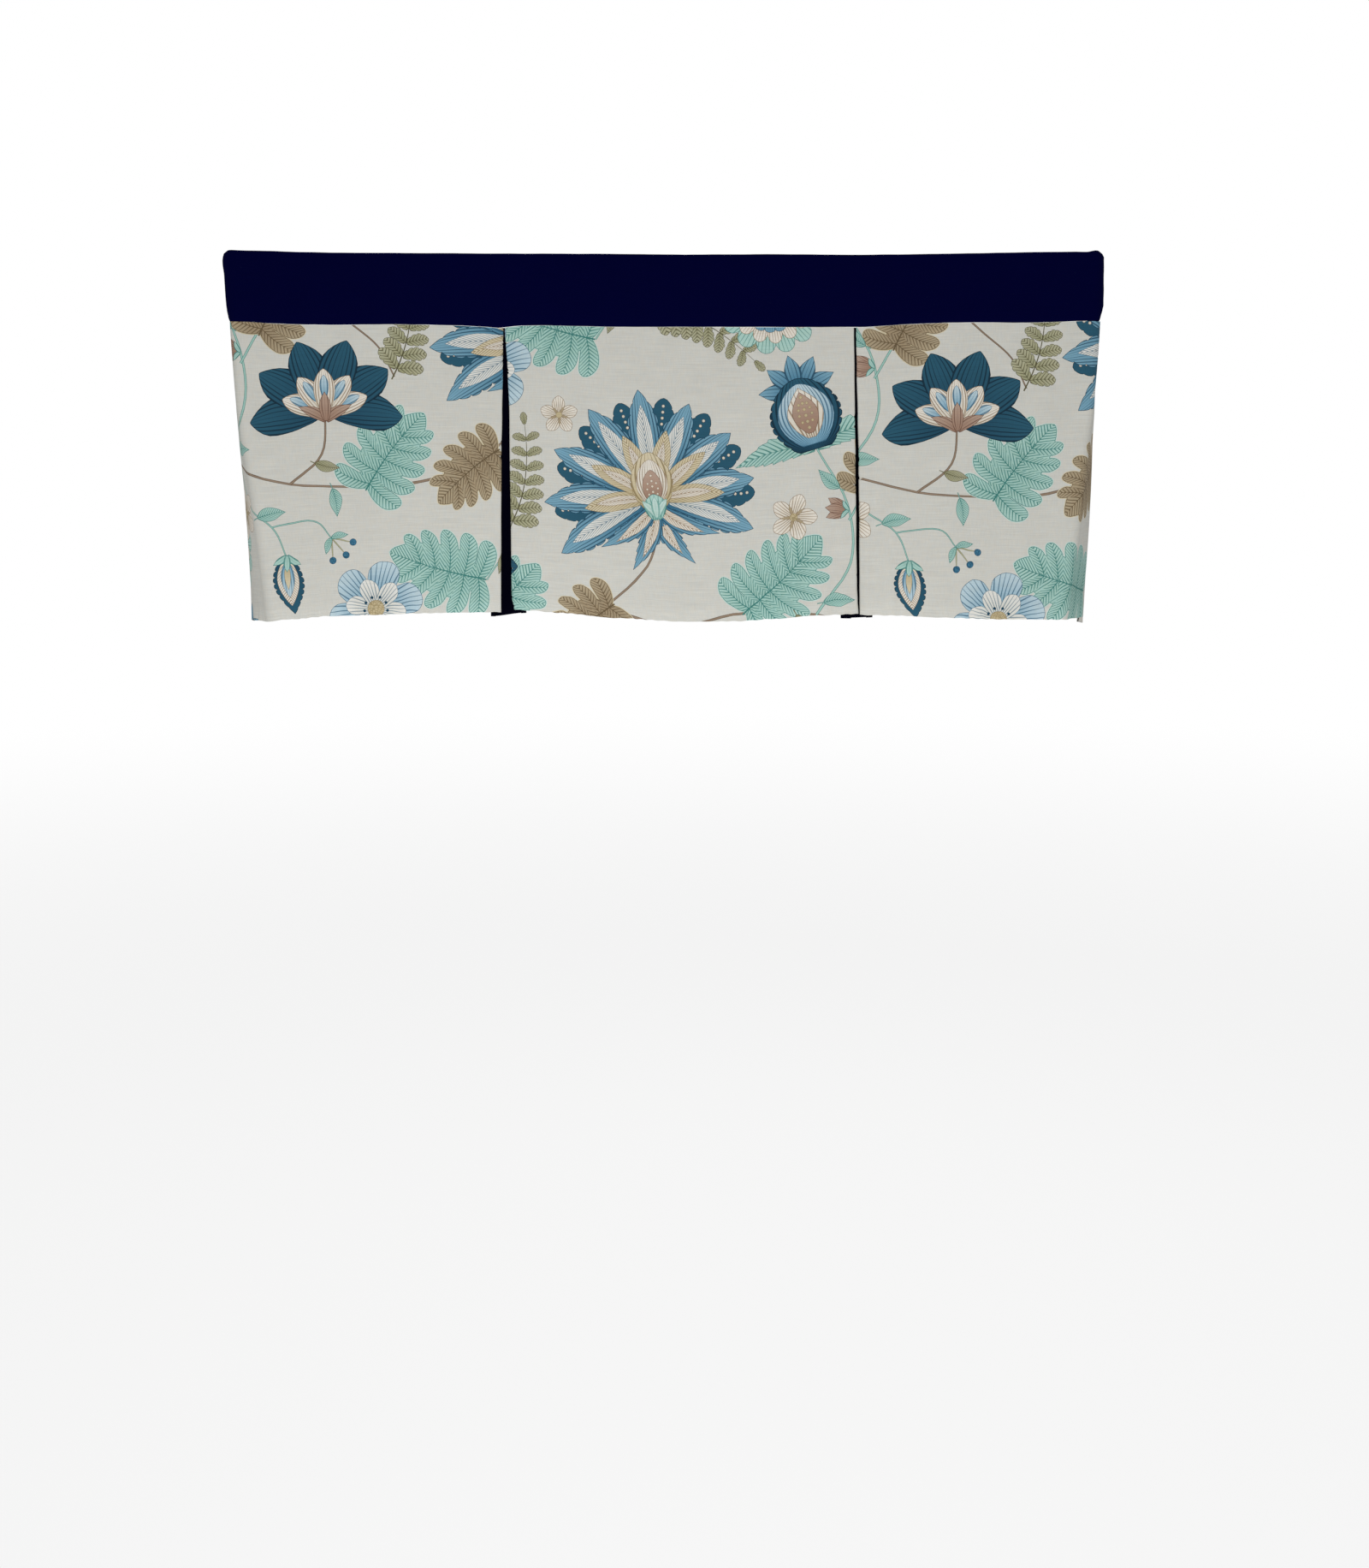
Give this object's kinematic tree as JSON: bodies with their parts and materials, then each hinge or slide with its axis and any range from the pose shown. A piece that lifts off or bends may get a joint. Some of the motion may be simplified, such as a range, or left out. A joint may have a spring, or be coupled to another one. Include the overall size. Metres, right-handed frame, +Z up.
{
  "type": "pleated window valance",
  "caption": "Tailored window valance: a plain navy heading band over floral printed panels, with navy inserts in inverted pleats and a return at each end.",
  "frame": {"origin": "middle of the heading band's top edge, in the plane of the panels' right side", "axes": "+X along the window to the right as seen from the room, +Y back towards the wall, +Z up"},
  "size_m": [1.2312, 0.113, 0.5235],
  "materials": {
    "heading_navy": "plain navy cotton twill, doubled and pressed",
    "insert_navy": "near-black navy cotton",
    "printed_cotton": "slubbed cream cotton with a floral print in blues, aqua, taupe and sand"
  },
  "bodies": {
    "root": {"heading_band": "heading_navy", "panel_left": "printed_cotton", "panel_centre": "printed_cotton", "panel_right": "printed_cotton", "pleat_insert_left": "insert_navy", "pleat_insert_right": "insert_navy"}
  },
  "joints": []
}
